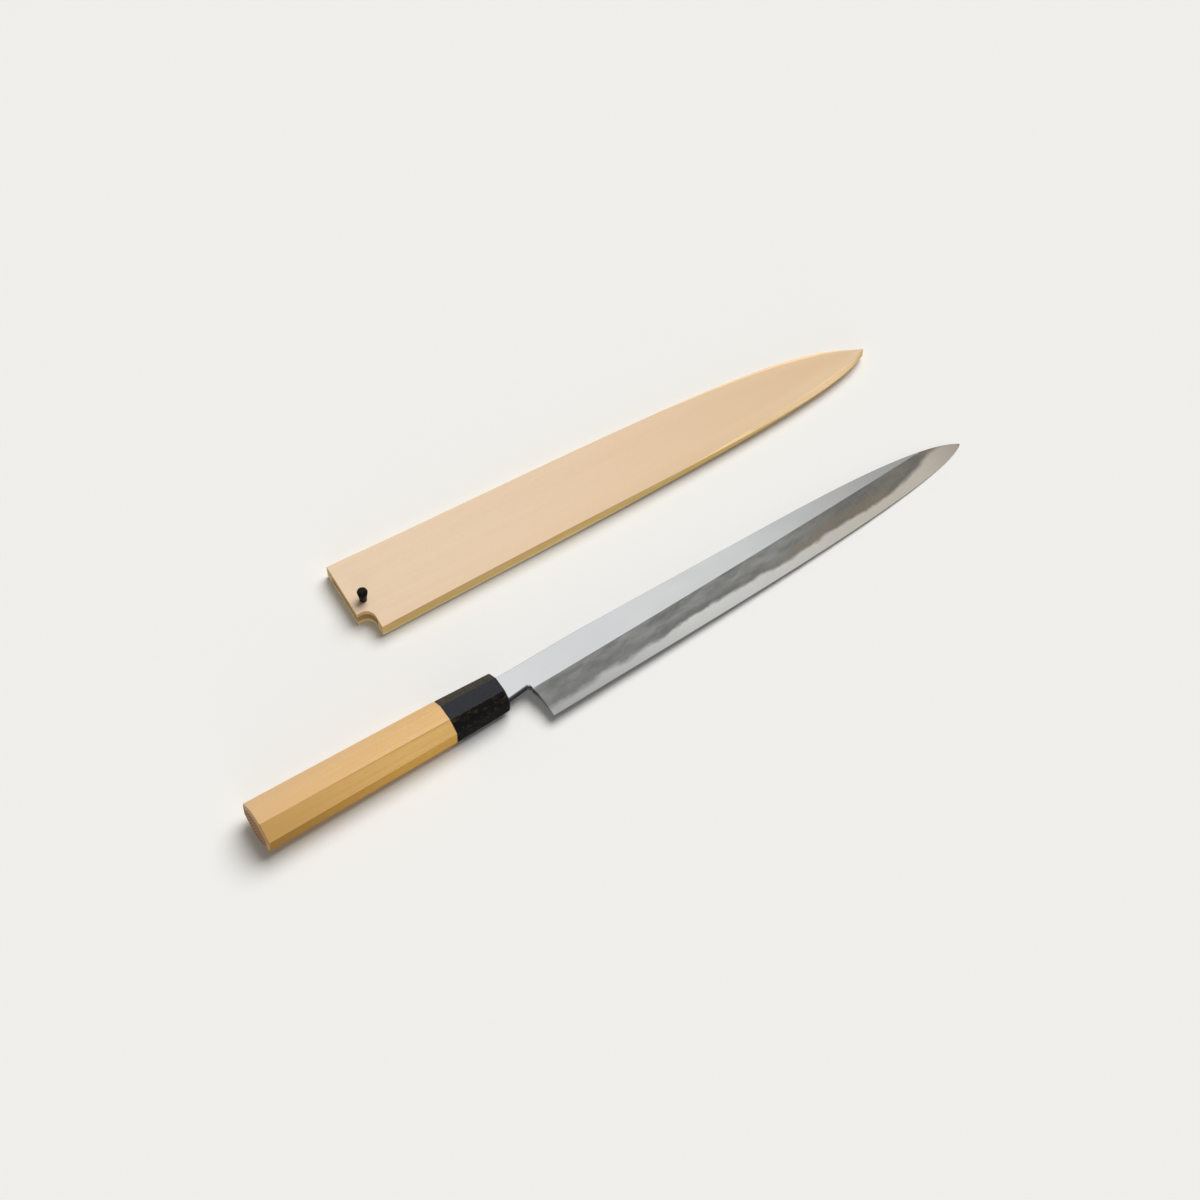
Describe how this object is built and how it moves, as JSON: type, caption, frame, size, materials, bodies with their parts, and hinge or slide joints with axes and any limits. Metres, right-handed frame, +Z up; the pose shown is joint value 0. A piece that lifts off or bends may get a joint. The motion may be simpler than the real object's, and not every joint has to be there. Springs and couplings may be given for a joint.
{
  "type": "sashimi knife with sheath",
  "caption": "Long narrow single-bevel slicing knife with an octagonal wooden handle and a dark ferrule, lying beside its flat wooden sheath with a retaining pin.",
  "frame": {"origin": "on the table, under the middle of the bounding box of the knife and the sheath as they lie", "axes": "+X from the handle's butt to the blade's tip, +Y from the cutting edge to the spine and on to the sheath, +Z up from the table"},
  "size_m": [0.4256, 0.135, 0.0215],
  "materials": {
    "soft_iron": "soft iron: bright satin flat above the ridge line, darker cloudy bevel under it",
    "hard_steel": "hard tool steel, fine satin on the edge band and the hollow back",
    "horn": null,
    "grip_wood": "pale bare wood with fine grain along the handle",
    "sheath_wood": "pale bare wood with straight grain along the sheath",
    "sheath_core": "the same pale wood, golden on its long sides",
    "dark_wood": "oiled near-black hardwood"
  },
  "bodies": {
    "knife": {"blade_iron": "soft_iron", "blade_steel": "hard_steel", "ferrule": "horn", "grip": "grip_wood"},
    "sheath": {"sheath_front_board": "sheath_wood", "sheath_back_board": "sheath_wood", "sheath_spine_strip": "sheath_core", "sheath_edge_strip": "sheath_core"},
    "pin": {"sheath_pin": "dark_wood"}
  },
  "joints": [
    {"name": "sheath_lift", "type": "slide", "parent": "knife", "child": "sheath", "axis": [0, 0, 1], "range_m": [0, 0.15]},
    {"name": "pin_pull", "type": "slide", "parent": "sheath", "child": "pin", "axis": [0, 0, 1], "range_m": [0, 0.025]}
  ]
}
